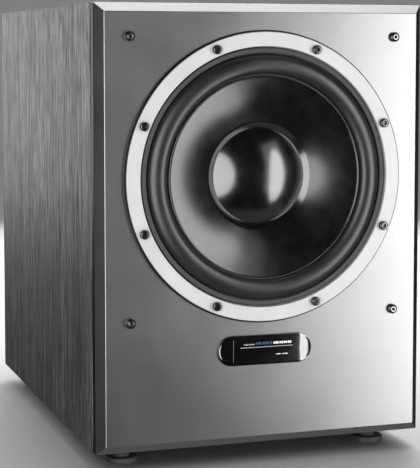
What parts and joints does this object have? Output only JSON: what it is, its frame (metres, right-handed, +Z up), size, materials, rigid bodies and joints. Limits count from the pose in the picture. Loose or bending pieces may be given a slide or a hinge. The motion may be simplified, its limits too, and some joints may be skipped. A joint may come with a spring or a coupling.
{
  "type": "subwoofer",
  "caption": "Active studio subwoofer: veneered box, chamfered silver front, one large driver in a silver ring, oblong badge, round feet, rear plate amplifier.",
  "frame": {"origin": "on the floor under the middle of the whole object's box", "axes": "+Z up, the front baffle faces -Y, +X to the right of a viewer facing the front"},
  "size_m": [0.3722, 0.5474, 0.495],
  "materials": {
    "silver_lacquer": "satin silver lacquer",
    "black_ash": "open-grain black ash veneer",
    "raw_board": "raw fibreboard",
    "wadding": "loose polyester wadding",
    "cast_silver": "cast, satin silver paint",
    "black_rubber": "soft moulded rubber",
    "gloss_cone": "smooth glossy black polypropylene",
    "gloss_badge": "glossy black",
    "black_steel": "black oxide steel",
    "copper": "enamelled copper wire",
    "coil_former": "polyimide sheet",
    "spider_cloth": "resin-treated cloth",
    "zinc_steel": "zinc-plated steel",
    "ferrite": "unglazed ferrite",
    "black_plastic": "moulded, fine texture",
    "black_anodised": "black anodised",
    "circuit": "circuit board with its components",
    "transformer_wrap": "wound core in black tape",
    "nickel": "nickel plated",
    "white_plastic": "moulded"
  },
  "bodies": {
    "cabinet": {"amplifier_plate": "black_anodised", "back_panel": "black_ash", "badge_body": "gloss_badge", "badge_label": "gloss_badge", "bottom_panel": "black_ash", "circuit_board": "circuit", "crossover_potentiometer": "black_plastic", "damping_wadding": "wadding", "driver_basket": "cast_silver", "driver_gasket": "black_rubber", "driver_screw_1": "black_steel", "driver_screw_2": "black_steel", "driver_screw_3": "black_steel", "driver_screw_4": "black_steel", "driver_screw_5": "black_steel", "driver_screw_6": "black_steel", "driver_screw_7": "black_steel", "driver_screw_8": "black_steel", "foot_1": "black_rubber", "foot_2": "black_rubber", "foot_3": "black_rubber", "foot_4": "black_rubber", "front_baffle": "silver_lacquer", "gain_potentiometer": "black_plastic", "grille_stud_1": "black_plastic", "grille_stud_2": "black_plastic", "grille_stud_3": "black_plastic", "grille_stud_4": "black_plastic", "heatsink": "black_anodised", "left_input_socket": "nickel", "left_output_socket": "nickel", "left_side_panel": "black_ash", "magnet_ring": "ferrite", "magnet_top_plate": "zinc_steel", "mains_inlet": "black_plastic", "phase_switch": "black_plastic", "pole_yoke": "zinc_steel", "power_switch_housing": "black_plastic", "right_input_socket": "nickel", "right_output_socket": "nickel", "right_side_panel": "black_ash", "speaker_cable": "black_rubber", "spider": "spider_cloth", "surround": "black_rubber", "terminal_strip": "black_plastic", "top_panel": "black_ash", "toroidal_transformer": "transformer_wrap", "transformer_bolt": "zinc_steel", "window_brace": "raw_board"},
    "cone_assembly": {"cone": "gloss_cone", "dust_cap": "gloss_cone", "voice_coil_former": "coil_former", "voice_coil_winding": "copper"},
    "gain_control": {"gain_knob": "black_plastic", "gain_shaft": "nickel"},
    "crossover_control": {"crossover_knob": "black_plastic", "crossover_shaft": "nickel"},
    "phase_selector": {"phase_slider": "white_plastic"},
    "power_button": {"power_rocker": "black_plastic"},
    "fuse_holder": {"fuse_drawer": "black_plastic"}
  },
  "joints": [
    {"name": "cone_slide", "type": "slide", "parent": "cabinet", "child": "cone_assembly", "axis": [0, -1, 0], "range_m": [-0.008, 0.008], "stiffness_N_per_m": 2500, "deforming": ["surround", "spider"]},
    {"name": "gain_turn", "type": "hinge", "parent": "cabinet", "child": "gain_control", "pos_m": [0.09, 0.24813, 0.2355], "axis": [0, 1, 0], "range_deg": [-150, 150]},
    {"name": "crossover_turn", "type": "hinge", "parent": "cabinet", "child": "crossover_control", "pos_m": [0.04, 0.24813, 0.2355], "axis": [0, 1, 0], "range_deg": [-150, 150]},
    {"name": "phase_slide", "type": "slide", "parent": "cabinet", "child": "phase_selector", "axis": [-1, 0, 0], "range_m": [0, 0.005]},
    {"name": "power_rock", "type": "hinge", "parent": "cabinet", "child": "power_button", "pos_m": [-0.086, 0.25072, 0.2175], "axis": [0, 0, -1], "range_deg": [0, 18]},
    {"name": "fuse_drawer_slide", "type": "slide", "parent": "cabinet", "child": "fuse_holder", "axis": [0, 1, 0], "range_m": [0, 0.02]}
  ]
}
